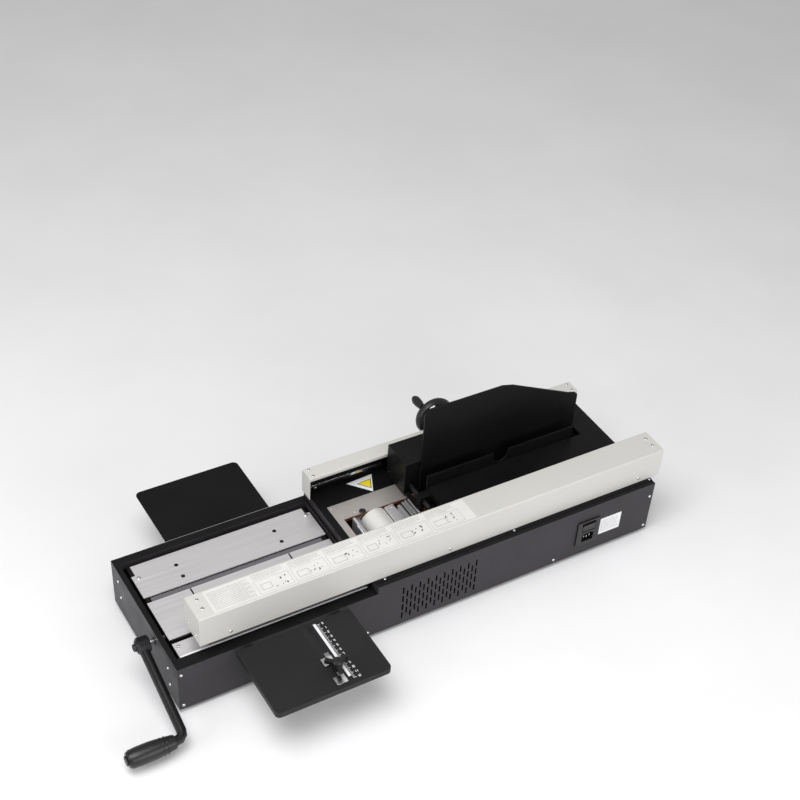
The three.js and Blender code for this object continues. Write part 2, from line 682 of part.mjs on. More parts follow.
function wings() {
  const [rx0, rx1, ry0, ry1] = REAR_WING;
  const rearSheet = prism("z", rounded(rx0, rx1, ry0, ry1, [9, 9, 0, 0]), WING_TOP - WING_T, WING_TOP);
  piece("rear_wing", rearSheet, "black");
  const [fx0, fx1, fy0, fy1] = FRONT_WING;
  const sheet = prism("z", rounded(fx0, fx1, fy0, fy1, [0, 0, 8, 8]), WING_TOP - WING_T, WING_TOP);
  const lipLow = WING_TOP - 10;
  const lipHigh = WING_TOP - 1;
  const lip = cut(
    prism("z", rounded(fx0, fx1, fy0, fy0 + 30, [0, 0, 8, 8]), lipLow, lipHigh),
    prism("z", rounded(fx0 + 2, fx1 - 2, fy0 + 2, fy0 + 40, [0, 0, 6, 6]), 70, 100),
  );
  const sides = [fx0, fx1 - 2].map((x) => box(x, x + 2, fy0 + 28, fy1, lipLow, lipHigh));
  const slot = box(SLOT_X - 4.3, SLOT_X + 4.3, -135, -12, 80, 100);
  piece("front_wing", cut(union(sheet, lip, sides), slot), "black");

  const bracket = (x0, x1, wall, reach) => {
    const back = Math.sign(reach - wall);
    const near = wall + back * GAP;
    const order = (a, b) => [Math.min(a, b), Math.max(a, b)];
    const flange = box(x0, x1, ...order(near, near + back * 2), 62, 80);
    const arms = [x0, x1 - 14].map((x) =>
      union(
        box(x, x + 14, ...order(near, reach), 86.7, WING_TOP - WING_T - GAP),
        box(x, x + 2.5, ...order(near, near + back * 60), 70, 88),
        box(x, x + 14, ...order(near, near + back * 2), 70, 88),
      ),
    );
    return union(flange, arms);
  };
  piece("rear_wing_bracket", bracket(110, 268, BODY_W, 360), "black");
  piece("front_wing_bracket", bracket(110, 276, 0, -110), "black");
}

function sideGuide() {
  const z = WING_TOP;
  const runner = union(
    box(SLOT_X - 3.9, SLOT_X + 3.9, KNOB_Y - 28, KNOB_Y + 28, z - 3, z + 0.8),
    box(SLOT_X - 8, SLOT_X + 8, KNOB_Y - 28, KNOB_Y + 28, z - 5, z - WING_T - GAP),
  );
  piece("guide_slider", runner.subtract(rod("z", 3.3, 80, 100, SLOT_X, KNOB_Y, 16)), "steel");
  const lobes = [0, 1, 2].map((i) => {
    const a = (i * 2 * Math.PI) / 3 + 0.3;
    const bar = new THREE.BoxGeometry(20, 6.5, 7).translate(10, 0, z + 13.5).rotateZ(a);
    return solid(bar.translate(SLOT_X, KNOB_Y, 0));
  });
  const profile = [
    [0, z - 8],
    [3, z - 8],
    [3, z + 1.3],
    [7.5, z + 1.3],
    [8.5, z + 10],
    [8.5, z + 18],
    [7, z + 20.5],
    [0, z + 20.5],
  ];
  const stem = turned("z", profile, SLOT_X, KNOB_Y, 24);
  piece("guide_knob", union(stem, lobes), "plastic");
}

function electrics() {
  const body = union(
    prism("y", rounded(22, 78, 742, 790, [3, 3, 3, 3], 2), -3, -GAP),
    box(746, 786, -1, 30, 26, 74),
  );
  const socket = prism("y", rounded(30, 48, 754, 778, [4, 0, 0, 4], 2), -4, 16);
  const rockerBay = box(752, 780, -4, 14, 53.2, 73.5);
  const blades = [[760, 35], [766, 40], [772, 35]].map(([x, z]) => box(x - 0.8, x + 0.8, -1, 20, z, z + 4));
  piece("power_inlet", union(cut(body, socket, rockerBay), blades), "plastic");
  const rocker = [
    [-5.5, 71],
    [-2.5, 63],
    [-3.2, 55],
    [4, 55.5],
    [8, 63],
    [4, 70.5],
  ];
  piece("switch_rocker", prism("x", rocker, 752.8, 779.2), "rubber");

  const board = box(560, 700, 40, 130, 12, 14);
  const parts = [
    box(570, 606, 50, 90, 13, 44),
    box(616, 640, 52, 78, 13, 30),
    box(652, 668, 96, 120, 13, 26),
    rod("z", 9, 13, 38, 652, 66, 20),
    rod("z", 9, 13, 38, 676, 66, 20),
  ];
  const stands = [566, 694].flatMap((x) => [46, 124].map((y) => rod("z", 3, 2.4, 13, x, y, 12)));
  piece("control_board", union(board, parts, stands), "board");
}

bodyShell();
basePlate();
feet();
rails();
nipStrip();
crank();
nipTable();
frontPlates();
glueUnit();
carriageDeck();
clamp();
wings();
sideGuide();
electrics();

// Origin at the middle of the footprint of the whole object, on the floor.
const bounds = new THREE.Box3().setFromObject(root);
root.position.set(-(bounds.min.x + bounds.max.x) / 2, -(bounds.min.y + bounds.max.y) / 2, -bounds.min.z);

export default root;
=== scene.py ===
"""Desktop perfect binder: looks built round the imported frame. Metres, +X right, +Y back, +Z up."""
import json
import math
import random

import bmesh
import bpy
from mathutils import Matrix, Vector

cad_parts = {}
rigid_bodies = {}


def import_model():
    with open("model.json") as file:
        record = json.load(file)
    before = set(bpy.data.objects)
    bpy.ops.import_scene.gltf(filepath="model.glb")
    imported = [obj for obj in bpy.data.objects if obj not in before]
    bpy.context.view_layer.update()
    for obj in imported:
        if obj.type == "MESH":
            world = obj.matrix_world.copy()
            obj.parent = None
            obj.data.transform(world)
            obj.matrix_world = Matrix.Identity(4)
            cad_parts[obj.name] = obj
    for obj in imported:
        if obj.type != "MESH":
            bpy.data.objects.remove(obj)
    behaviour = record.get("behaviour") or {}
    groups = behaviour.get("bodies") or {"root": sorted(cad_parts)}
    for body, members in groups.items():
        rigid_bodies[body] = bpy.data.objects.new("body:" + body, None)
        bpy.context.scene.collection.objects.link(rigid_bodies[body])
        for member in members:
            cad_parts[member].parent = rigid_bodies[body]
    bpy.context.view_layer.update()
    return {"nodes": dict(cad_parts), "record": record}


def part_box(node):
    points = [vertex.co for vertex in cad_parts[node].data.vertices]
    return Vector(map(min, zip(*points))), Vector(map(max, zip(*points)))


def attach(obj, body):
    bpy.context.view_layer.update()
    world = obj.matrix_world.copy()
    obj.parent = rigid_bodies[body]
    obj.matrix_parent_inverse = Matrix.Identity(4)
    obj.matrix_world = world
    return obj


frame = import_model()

MM = 0.001


def lo(node):
    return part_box(node)[0]


def hi(node):
    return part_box(node)[1]


def mid(node):
    low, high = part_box(node)
    return (low + high) / 2


# ---- Camera, light and floor ----

CAMERA_AT = (-0.9111, -1.4888, 1.8002)
CAMERA_TURN = (46.826, -4.858, -31.761)
CAMERA_LENS = 65.55
CAMERA_SENSOR = 36
CAMERA_SHIFT = (-0.0798, 0.1377)
CAMERA_CLIP = (0.05, 60)

WORLD_STRENGTH = 0.42
# Name, place, target, size and power in watts
AREA_LIGHTS = (
    ("key_light", (-0.8, -0.5, 2.4), (0.0, 0.0, 0.05), (1.8, 1.4), 44),
    ("front_light", (0.5, -2.3, 0.9), (0.0, 0.0, 0.05), (2.4, 0.9), 24),
    ("left_light", (-2.3, -0.3, 0.9), (-0.3, 0.0, 0.1), (1.0, 1.2), 12),
)

FLOOR_HALF_WIDTH = 12
FLOOR_Z = -0.0002


def make_camera():
    data = bpy.data.cameras.new("camera")
    data.lens = CAMERA_LENS
    data.sensor_width = CAMERA_SENSOR
    data.shift_x, data.shift_y = CAMERA_SHIFT
    data.clip_start, data.clip_end = CAMERA_CLIP
    cam = bpy.data.objects.new("camera", data)
    cam.location = CAMERA_AT
    cam.rotation_euler = [math.radians(a) for a in CAMERA_TURN]
    bpy.context.scene.collection.objects.link(cam)
    bpy.context.scene.camera = cam


def area_light(name, at, target, size, power):
    data = bpy.data.lights.new(name, "AREA")
    data.shape = "RECTANGLE"
    data.size, data.size_y = size
    data.energy = power
    lamp = bpy.data.objects.new(name, data)
    lamp.location = at
    lamp.rotation_euler = (Vector(target) - Vector(at)).to_track_quat("-Z", "Y").to_euler()
    bpy.context.scene.collection.objects.link(lamp)


def make_light():
    world = bpy.data.worlds.new("studio")
    world.use_nodes = True
    background = world.node_tree.nodes["Background"]
    background.inputs["Color"].default_value = (1.0, 1.0, 1.0, 1)
    background.inputs["Strength"].default_value = WORLD_STRENGTH
    scene = bpy.context.scene
    scene.world = world
    for light in AREA_LIGHTS:
        area_light(*light)
    scene.view_settings.view_transform = "Standard"
    scene.view_settings.look = "None"


def make_floor():
    mesh = bpy.data.meshes.new("floor")
    b = bmesh.new()
    bmesh.ops.create_grid(b, x_segments=2, y_segments=2, size=FLOOR_HALF_WIDTH)
    b.to_mesh(mesh)
    b.free()
    floor = bpy.data.objects.new("floor", mesh)
    floor.location.z = FLOOR_Z
    bpy.context.scene.collection.objects.link(floor)
    look = Look("studio_floor", (0.86, 0.86, 0.87), 0.75, specular=0.2)
    look.vary(scale=3, amount=0.02)
    mesh.materials.append(look.material)


# ---- Materials ----

EDGE_SAMPLES = 4
# How far the rounded normal leaves the face normal where wear starts, and where it is full
EDGE_START = 0.985
EDGE_FULL = 0.86


class Look:
    """A procedural material: a Principled shader and steps that add variation, grain, wear, dust,
    painted shade and bump.
    """

    def __init__(self, name, colour, roughness, metallic=0.0, specular=0.5, coat=0.0,
                 coat_roughness=0.2):
        self.material = bpy.data.materials.new(name)
        self.material.use_nodes = True
        self.tree = self.material.node_tree
        self.shader = self.tree.nodes["Principled BSDF"]
        self.set("Base Color", (*colour, 1))
        self.set("Roughness", roughness)
        self.set("Metallic", metallic)
        self.set("Specular IOR Level", specular)
        self.set("Coat Weight", coat)
        self.set("Coat Roughness", coat_roughness)
        self.colour = None
        self.base = colour
        self.rough = roughness
        self.objects = self.tree.nodes.new("ShaderNodeTexCoord").outputs["Object"]

    def set(self, socket, value):
        self.shader.inputs[socket].default_value = value

    def node(self, kind, **values):
        made = self.tree.nodes.new(kind)
        for key, value in values.items():
            setattr(made, key, value)
        return made

    def link(self, a, b):
        self.tree.links.new(a, b)

    def noise(self, scale, detail=4.0, rough=0.5, stretch=(1, 1, 1)):
        mapping = self.node("ShaderNodeMapping")
        mapping.inputs["Scale"].default_value = stretch
        self.link(self.objects, mapping.inputs["Vector"])
        made = self.node("ShaderNodeTexNoise")
        made.inputs["Scale"].default_value = scale
        made.inputs["Detail"].default_value = detail
        made.inputs["Roughness"].default_value = rough
        self.link(mapping.outputs["Vector"], made.inputs["Vector"])
        return made.outputs["Fac"]

    def ramp(self, fac, low, high, a, b):
        made = self.node("ShaderNodeMapRange")
        made.inputs["From Min"].default_value = low
        made.inputs["From Max"].default_value = high
        made.inputs["To Min"].default_value = a
        made.inputs["To Max"].default_value = b
        self.link(fac, made.inputs["Value"])
        return made.outputs["Result"]

    def mix(self, fac, a, b):
        """A colour mix; a and b are colours or sockets."""
        made = self.node("ShaderNodeMix", data_type="RGBA")
        self.link(fac, made.inputs["Factor"])
        for slot, value in (("A", a), ("B", b)):
            socket = [s for s in made.inputs if s.name == slot and s.type == "RGBA"][0]
            if isinstance(value, bpy.types.NodeSocket):
                self.link(value, socket)
            else:
                socket.default_value = (*value, 1)
        return [s for s in made.outputs if s.type == "RGBA"][0]

    def paint_over(self, fac, colour):
        """Lays a colour over what is there by a mask."""
        under = self.colour if self.colour is not None else self.base
        self.colour = self.mix(fac, under, colour)
        self.link(self.colour, self.shader.inputs["Base Color"])

    def vary(self, scale=6.0, amount=0.1, stretch=(1, 1, 1), detail=4.0):
        """Light and dark patches of the base colour."""
        fac = self.ramp(self.noise(scale, detail, 0.55, stretch), 0.35, 0.65, 0, 1)
        dark = tuple(c * (1 - amount) for c in self.base)
        light = tuple(min(1.0, c * (1 + amount)) for c in self.base)
        self.colour = self.mix(fac, dark, light)
        self.link(self.colour, self.shader.inputs["Base Color"])

    def roughen(self, scale, amount, stretch=(1, 1, 1), detail=4.0):
        fac = self.noise(scale, detail, 0.6, stretch)
        out = self.ramp(fac, 0.3, 0.7, max(0.02, self.rough - amount), min(1.0, self.rough + amount))
        self.link(out, self.shader.inputs["Roughness"])

    def bump(self, scale, strength, distance, stretch=(1, 1, 1), detail=3.0):
        fac = self.noise(scale, detail, 0.6, stretch)
        made = self.node("ShaderNodeBump")
        made.inputs["Strength"].default_value = strength
        made.inputs["Distance"].default_value = distance
        self.link(fac, made.inputs["Height"])
        before = self.shader.inputs["Normal"].links
        if before:
            self.link(before[0].from_socket, made.inputs["Normal"])
        self.link(made.outputs["Normal"], self.shader.inputs["Normal"])

    def edge_wear(self, colour, radius=0.0008, amount=0.7):
        """Worn edges: where the rounded normal leaves the face normal, broken up by noise."""
        bevel = self.node("ShaderNodeBevel", samples=EDGE_SAMPLES)
        bevel.inputs["Radius"].default_value = radius
        geometry = self.node("ShaderNodeNewGeometry")
        dot = self.node("ShaderNodeVectorMath", operation="DOT_PRODUCT")
        self.link(bevel.outputs["Normal"], dot.inputs[0])
        self.link(geometry.outputs["True Normal"], dot.inputs[1])
        edge = self.ramp(dot.outputs["Value"], EDGE_START, EDGE_FULL, 0, 1)
        patch = self.ramp(self.noise(60, 5, 0.7), 0.45, 0.62, 0.15, amount)
        both = self.node("ShaderNodeMath", operation="MULTIPLY", use_clamp=True)
        self.link(edge, both.inputs[0])
        self.link(patch, both.inputs[1])
        self.paint_over(both.outputs[0], colour)

    def darker_top(self, colour):
        """Painted shade: another colour on faces that look up, standing in for how the studio light from
        above falls on them.
        """
        geometry = self.node("ShaderNodeNewGeometry")
        split = self.node("ShaderNodeSeparateXYZ")
        self.link(geometry.outputs["Normal"], split.inputs[0])
        self.paint_over(self.ramp(split.outputs["Z"], 0.35, 0.8, 0, 1), colour)

    def dust(self, colour, amount=0.25, scale=9.0):
        """A faint film of dust on faces that look up."""
        geometry = self.node("ShaderNodeNewGeometry")
        split = self.node("ShaderNodeSeparateXYZ")
        self.link(geometry.outputs["Normal"], split.inputs[0])
        up = self.ramp(split.outputs["Z"], 0.6, 1.0, 0, 1)
        patch = self.ramp(self.noise(scale, 6, 0.65), 0.4, 0.8, 0, amount)
        both = self.node("ShaderNodeMath", operation="MULTIPLY", use_clamp=True)
        self.link(up, both.inputs[0])
        self.link(patch, both.inputs[1])
        self.paint_over(both.outputs[0], colour)


def powder_coat(name, colour, roughness=0.42, grain=1400, specular=0.2, top=None, wear=0.10):
    look = Look(name, colour, roughness, specular=specular)
    look.vary(scale=5, amount=0.12)
    # Painted shade: faces that look up get the darker top colour.
    if top:
        look.darker_top(top)
    look.dust((0.03, 0.029, 0.031), 0.12)
    look.edge_wear((wear, wear * 0.97, wear), 0.0009, 0.5)
    look.roughen(18, 0.07)
    look.bump(grain, 0.16, 0.0002)
    return look


def light_enamel():
    look = Look("light_enamel", (0.60, 0.585, 0.56), 0.4, specular=0.35)
    look.vary(scale=3.5, amount=0.025)
    look.edge_wear((0.42, 0.41, 0.39), 0.0008, 0.4)
    look.roughen(25, 0.05)
    look.bump(1600, 0.08, 0.0002)
    return look


def brushed_steel(name="brushed_stainless", colour=(0.90, 0.88, 0.885), along=(6, 900, 900)):
    look = Look(name, colour, 0.42, metallic=0.85)
    look.vary(scale=1, amount=0.035, stretch=along, detail=6)
    look.roughen(1, 0.09, stretch=along, detail=6)
    look.bump(1, 0.10, 0.0001, stretch=along, detail=6)
    return look


def polished_steel(name="polished_steel", colour=(0.66, 0.66, 0.67), roughness=0.16):
    look = Look(name, colour, roughness, metallic=1.0)
    look.vary(scale=14, amount=0.05)
    look.roughen(70, 0.05)
    return look


def cast_metal():
    look = Look("cast_aluminium", (0.40, 0.40, 0.405), 0.5, metallic=0.85)
    look.vary(scale=30, amount=0.12)
    look.roughen(90, 0.1)
    look.bump(700, 0.25, 0.0003)
    return look


def moulded_plastic():
    look = Look("black_moulding", (0.008, 0.008, 0.009), 0.36)
    look.vary(scale=20, amount=0.15)
    look.edge_wear((0.06, 0.06, 0.062), 0.0008, 0.5)
    look.roughen(60, 0.06)
    look.bump(2200, 0.14, 0.0002)
    return look


def soft_rubber():
    look = Look("black_rubber", (0.018, 0.018, 0.018), 0.78, specular=0.3)
    look.vary(scale=40, amount=0.2)
    look.dust((0.12, 0.12, 0.12), 0.2, 30)
    look.bump(900, 0.3, 0.0003)
    return look


def phenolic_board():
    look = Look("phenolic_board", (0.135, 0.030, 0.014), 0.42, specular=0.5)
    look.vary(scale=1, amount=0.25, stretch=(40, 300, 300), detail=5)
    look.edge_wear((0.42, 0.16, 0.09), 0.0016, 0.9)
    look.bump(600, 0.15, 0.0002)
    return look


def coated_drum():
    look = Look("coated_drum", (0.74, 0.73, 0.70), 0.22, specular=0.5, coat=0.4, coat_roughness=0.12)
    look.vary(scale=1, amount=0.06, stretch=(60, 8, 60))
    look.paint_over(look.ramp(look.noise(26, 5, 0.6), 0.56, 0.74, 0, 0.35), (0.50, 0.44, 0.33))
    look.roughen(30, 0.08)
    return look


def brass():
    look = Look("machined_brass", (0.58, 0.42, 0.17), 0.3, metallic=1.0)
    look.vary(scale=40, amount=0.12)
    look.roughen(80, 0.08)
    return look


def circuit_board():
    look = Look("circuit_board", (0.012, 0.085, 0.032), 0.4, specular=0.5)
    look.vary(scale=90, amount=0.35)
    look.bump(500, 0.2, 0.0002)
    return look


def printed(name, colour, roughness=0.4):
    look = Look(name, colour, roughness, specular=0.4)
    look.vary(scale=30, amount=0.04)
    look.bump(900, 0.05, 0.0001)
    return look


LOOKS = {
    # Black body paint; its top colour is painted shade on faces that look up.
    "black_paint": powder_coat("black_powder_coat", (0.034, 0.031, 0.036), top=(0.0045, 0.0043, 0.0047)),
    "light_paint": light_enamel(),
    "stainless": brushed_steel(),
    "bright_steel": polished_steel(),
    "cast_aluminium": cast_metal(),
    "rubber": soft_rubber(),
    "black_plastic": moulded_plastic(),
    "phenolic": phenolic_board(),
    "coated_drum": coated_drum(),
    "brass": brass(),
    "circuit_board": circuit_board(),
}
# A far darker copy of the black powder coat for parts under the rail covers and on the carriage: their
# black paint with painted shade in it.
BLACK_COAT_AND_SHADE = powder_coat("black_coat_and_painted_shade", (0.0055, 0.0053, 0.0058), 0.4, specular=0.14, wear=0.05)
DARK_STEEL = polished_steel("blackened_steel", (0.06, 0.06, 0.062), 0.38)
DARK_WING = powder_coat("wing_powder_coat", (0.016, 0.0155, 0.0165), 0.5, 1100)
COVER_PLATE = brushed_steel("warm_stainless", (0.72, 0.68, 0.645), (900, 6, 900))
PLATEN = brushed_steel("grey_platen", (0.27, 0.26, 0.28), (8, 700, 700))
SCREW_STEEL = polished_steel("screw_steel", (0.74, 0.74, 0.75), 0.2)
BLACK_SCREW = polished_steel("black_oxide_screw", (0.05, 0.05, 0.055), 0.32)
LABEL_WHITE = printed("label_white", (0.80, 0.80, 0.82))
LABEL_YELLOW = printed("label_yellow", (0.83, 0.66, 0.02))
LABEL_EDGE = printed("label_edge_black", (0.03, 0.03, 0.03))
PRINT_GREY = printed("print_grey", (0.30, 0.295, 0.285))
PRINT_PALE = printed("print_pale", (0.71, 0.70, 0.68))
PRINT_DARK = printed("print_dark", (0.10, 0.10, 0.10))
# Painted shadow: dark strips on the front wing beside the scale.
SCALE_SHADOW = printed("scale_shadow", (0.010, 0.010, 0.011))
# Painted highlight: a near-white colour for the bright line along the nip strip's hem.
PAINTED_HIGHLIGHT_EDGE = printed("painted_highlight_edge", (0.86, 0.86, 0.87), 0.25)
SCALE_INK = printed("scale_ink", (0.75, 0.75, 0.77))

OWN_LOOK = {
    "carriage_deck": BLACK_COAT_AND_SHADE,
    "rear_jaw": BLACK_COAT_AND_SHADE,
    "front_jaw": BLACK_COAT_AND_SHADE,
    "clamp_drive_box": BLACK_COAT_AND_SHADE,
    "rear_rail_wall": BLACK_COAT_AND_SHADE,
    "cover_support_strip": BLACK_COAT_AND_SHADE,
    "clamp_end_cover": BLACK_COAT_AND_SHADE,
    "clamp_spindle": DARK_STEEL,
    "jaw_guide_rod": DARK_STEEL,
    "front_wing": DARK_WING,
    "rear_wing": BLACK_COAT_AND_SHADE,
    "glue_cover_plate": COVER_PLATE,
    "spine_platen": PLATEN,
}


# ---- Mesh helpers ----

SHARP_ANGLE = 35
SCREW_SHARP_ANGLE = 40
SAME_POINT = 1e-6
BEVEL_SEGMENTS = 2
BEVEL_ANGLE = 30
WELD_DISTANCE = 1e-5
FLAT_ANGLE = 0.5
CORNER_STEPS = 5
LATHE_STEPS = 32
SCREW_STEPS = 24
DISH_STEPS = 28
FINE_STEPS = 36
GRIP_STEPS = 40
ON_AXIS = 1e-7
NEARLY_UPRIGHT = 0.95


def new_piece(name, build, look, body, smooth=True, bevel=0.0, sharp=SHARP_ANGLE):
    """A piece from a function that fills a bmesh. It rides on a body and has a material slot."""
    mesh = bpy.data.meshes.new(name)
    b = bmesh.new()
    build(b)
    bmesh.ops.remove_doubles(b, verts=b.verts, dist=SAME_POINT)
    bmesh.ops.recalc_face_normals(b, faces=b.faces)
    b.to_mesh(mesh)
    b.free()
    made = bpy.data.objects.new(name, mesh)
    bpy.context.scene.collection.objects.link(made)
    mesh.materials.append(look.material)
    if smooth:
        smooth_by_angle(made, sharp)
    if bevel:
        add_bevel(made, bevel)
    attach(made, body)
    return made


def smooth_by_angle(made, degrees):
    mesh = made.data
    mesh.polygons.foreach_set("use_smooth", [True] * len(mesh.polygons))
    mesh.set_sharp_from_angle(angle=math.radians(degrees))


def add_bevel(made, width):
    mod = made.modifiers.new("rounded_edges", "BEVEL")
    mod.width = width
    mod.segments = BEVEL_SEGMENTS
    mod.limit_method = "ANGLE"
    mod.angle_limit = math.radians(BEVEL_ANGLE)
    mod.harden_normals = True
    mod.use_clamp_overlap = True


def soften_node(node, width):
    """Rounded, evenly shaded edges on a CAD node, by modifiers only."""
    made = frame["nodes"][node]
    weld = made.modifiers.new("weld", "WELD")
    weld.merge_threshold = WELD_DISTANCE
    flat = made.modifiers.new("flat_faces", "DECIMATE")
    flat.decimate_type = "DISSOLVE"
    flat.angle_limit = math.radians(FLAT_ANGLE)
    add_bevel(made, width)
    made.data.polygons.foreach_set("use_smooth", [True] * len(made.data.polygons))
    normals = made.modifiers.new("face_normals", "WEIGHTED_NORMAL")
    normals.keep_sharp = True


def basis_of(normal):
    """A matrix whose Z axis is normal, with X as level as it can be."""
    z = Vector(normal).normalized()
    up = Vector((0, 0, 1))
    if abs(z.dot(up)) > NEARLY_UPRIGHT:
        up = Vector((0, 1, 0))
    x = up.cross(z).normalized()
    y = z.cross(x)
    return Matrix((x, y, z)).transposed()


def lathe(b, profile, centre, axis, steps=LATHE_STEPS):
    """A turned surface from pairs of radius and distance; ends on the axis are closed."""
    turn = basis_of(axis)
    rings = []
    for radius, along in profile:
        if radius < ON_AXIS:
            rings.append([b.verts.new(Vector(centre) + turn @ Vector((0, 0, along)))])
            continue
        ring = []
        for i in range(steps):
            a = 2 * math.pi * i / steps
            local = Vector((radius * math.cos(a), radius * math.sin(a), along))
            ring.append(b.verts.new(Vector(centre) + turn @ local))
        rings.append(ring)
    for one, two in zip(rings, rings[1:]):
        for i in range(steps):
            j = (i + 1) % steps
            if len(one) == 1 and len(two) > 1:
                b.faces.new((one[0], two[i], two[j]))
            elif len(two) == 1 and len(one) > 1:
                b.faces.new((one[i], one[j], two[0]))
            elif len(one) > 1:
                b.faces.new((one[i], one[j], two[j], two[i]))


def slab(b, centre, normal, size, thick, fillet=0.0, turn=0.0):
    """A thin plate standing on a surface, with round corners if fillet is given."""
    frame_of = basis_of(normal)
    w, h = size[0] / 2, size[1] / 2
    points = []
    if fillet > 0:
        for cx, cy, start in ((w - fillet, h - fillet, 0), (-w + fillet, h - fillet, 90),
                              (-w + fillet, -h + fillet, 180), (w - fillet, -h + fillet, 270)):
            for i in range(CORNER_STEPS + 1):
                a = math.radians(start + 90 * i / CORNER_STEPS)
                points.append((cx + fillet * math.cos(a), cy + fillet * math.sin(a)))
    else:
        points = [(w, h), (-w, h), (-w, -h), (w, -h)]
    extrude_outline(b, points, centre, frame_of, thick, turn)


def close_prism(b, low, high):
    """The two end faces and the sides between two loops of the same length."""
    b.faces.new(high)
    b.faces.new(list(reversed(low)))
    for i in range(len(low)):
        j = (i + 1) % len(low)
        b.faces.new((low[i], low[j], high[j], high[i]))


def extrude_outline(b, points, centre, frame_of, thick, turn):
    c, s = math.cos(turn), math.sin(turn)
    loops = []
    for z in (0.0, thick):
        turned = [Vector((x * c - y * s, x * s + y * c, z)) for x, y in points]
        loops.append([b.verts.new(Vector(centre) + frame_of @ local) for local in turned])
    close_prism(b, *loops)


def pan_screw(b, centre, normal, radius, height=None):
    """A domed screw head with a cross recess, on a thin washer flange."""
    height = height or radius * 0.55
    profile = [(radius * 1.0, -0.0002), (radius, 0.12 * height)]
    for i in range(1, 5):
        a = math.radians(90 * i / 5)
        profile.append((radius * (0.52 + 0.48 * math.cos(a)), height * (0.12 + 0.88 * math.sin(a))))
    profile.append((radius * 0.42, height))
    profile.append((radius * 0.34, height * 0.55))
    profile.append((0, height * 0.5))
    lathe(b, profile, centre, normal, SCREW_STEPS)
    cross_recess(b, centre, normal, radius, height)


def cross_recess(b, centre, normal, radius, height):
    """Four wedges that close the round pocket down to a cross."""
    turn = basis_of(normal)
    for quarter in range(4):
        a = math.radians(45 + 90 * quarter)
        d = Vector((math.cos(a), math.sin(a)))
        side = Vector((-d.y, d.x))
        inner = d * radius * 0.13
        outer = d * radius * 0.37
        half = radius * 0.20
        corners = [inner, outer + side * half, outer * 1.06, outer - side * half]
        loops = [[b.verts.new(Vector(centre) + turn @ Vector((p.x, p.y, z))) for p in corners]
                 for z in (height * 0.5, height * 0.97)]
        close_prism(b, *loops)


def socket_dimple(b, centre, normal, radius):
    """A countersunk dark screw, as a low dish that stands 0.3 mm proud of the sheet."""
    profile = [
        (radius, -0.0002),
        (radius, 0.0002),
        (radius * 0.90, 0.0003),
        (radius * 0.56, 0.00014),
        (radius * 0.50, 0.00008),
        (0, 0.00008),
    ]
    lathe(b, profile, centre, normal, DISH_STEPS)


def screws(name, body, spots, look=SCREW_STEEL, make=pan_screw):
    """One piece of identical screws: each spot is a centre, a normal and a radius."""
    def build(b):
        for centre, normal, radius in spots:
            make(b, Vector(centre), normal, radius)
    return new_piece(name, build, look, body, sharp=SCREW_SHARP_ANGLE)


# ---- CAD nodes: finish and edges ----

EDGE_WIDTH = {
    "body_shell": 0.0009, "front_rail_cover": 0.0010, "rear_rail_cover": 0.0010,
    "clamp_drive_box": 0.0009, "crank_arm": 0.0004, "rear_wing": 0.0005, "front_wing": 0.0006,
    "front_jaw": 0.0006, "rear_jaw": 0.0006, "carriage_deck": 0.0006, "power_inlet": 0.0007,
}
OTHER_EDGE_WIDTH = 0.0003
NO_SOFTENING = {"drive_belt", "control_board"}


def finish_cad_nodes():
    slots = {part["node"]: part["material_slot"] for part in frame["record"]["subparts"]}
    for node, made in frame["nodes"].items():
        look = OWN_LOOK.get(node) or LOOKS[slots[node]]
        made.data.materials.clear()
        made.data.materials.append(look.material)
        for polygon in made.data.polygons:
            polygon.material_index = 0
        if node not in NO_SOFTENING:
            soften_node(node, EDGE_WIDTH.get(node, OTHER_EDGE_WIDTH))


# ---- Details ----

UP = (0, 0, 1)
FRONT = (0, -1, 0)
BACK = (0, 1, 0)
LEFT = (-1, 0, 0)
RIGHT = (1, 0, 0)

BODY_END_SCREWS = [(0, 233, 70), (0, 226, 39), (0, 37, 61), (0, 33, 27)]
BODY_SCREW_RADIUS = 2.7

# The printed strip: lengths in mm, thickness in metres
PRINT_LIFT = 0.12
PRINT_THICK = 0.00006
DASH_WIDTH = (0.9, 3.2)
DASH_GAP = (0.5, 1.1)
DASH_HEIGHT = 0.75
PANEL_DASH_HEIGHT = 0.7
TEXT_ROWS = 13
TEXT_ROW_STEP = 3.1
PANEL_ROWS = 4
PANEL_ROW_STEP = 3.0
STICKER_X = (28, 492)
STICKER_Y = (4, 51)
PANEL_COUNT = 6
PANEL_START = 106
PANEL_STEP = 61.8
PANEL_WIDTH = 57

# The rating plate's print: where a row starts, where its last dash may start, and where it ends
PLATE_PRINT_X = (795.0, 832, 834)

# The scale on the front wing, in mm from the wing's left front corner
SCALE_TOP = 131
SCALE_BAR = (130.6, 75.5)
TICK_X = 133.6
TICK_COUNT = 49
TICK_STEP = 2.5
LONG_TICK = 5.6
SHORT_TICK = 3.0
NUMERAL_COUNT = 13
NUMERAL_STEP = 10
NUMERAL_X = 143.5
NUMERAL_PITCH = 3.0
NUMERAL_HEIGHT = 0.0038
NUMERAL_WIDTH_RATIO = 0.5
NUMERAL_STROKE_RATIO = 0.16


def corner(node, sides, x=0.0, y=0.0, z=0.0):
    """A point given in mm from a corner of a node's box; sides has l or h for each axis."""
    low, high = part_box(node)
    start = [high[i] if side == "h" else low[i] for i, side in enumerate(sides)]
    return Vector(start) + Vector((x, y, z)) * MM


def screw_row(node, sides, spots, normal, radius):
    """Screws at x, y, z offsets in mm from one corner of a node."""
    return [(corner(node, sides, *spot), normal, radius * MM) for spot in spots]


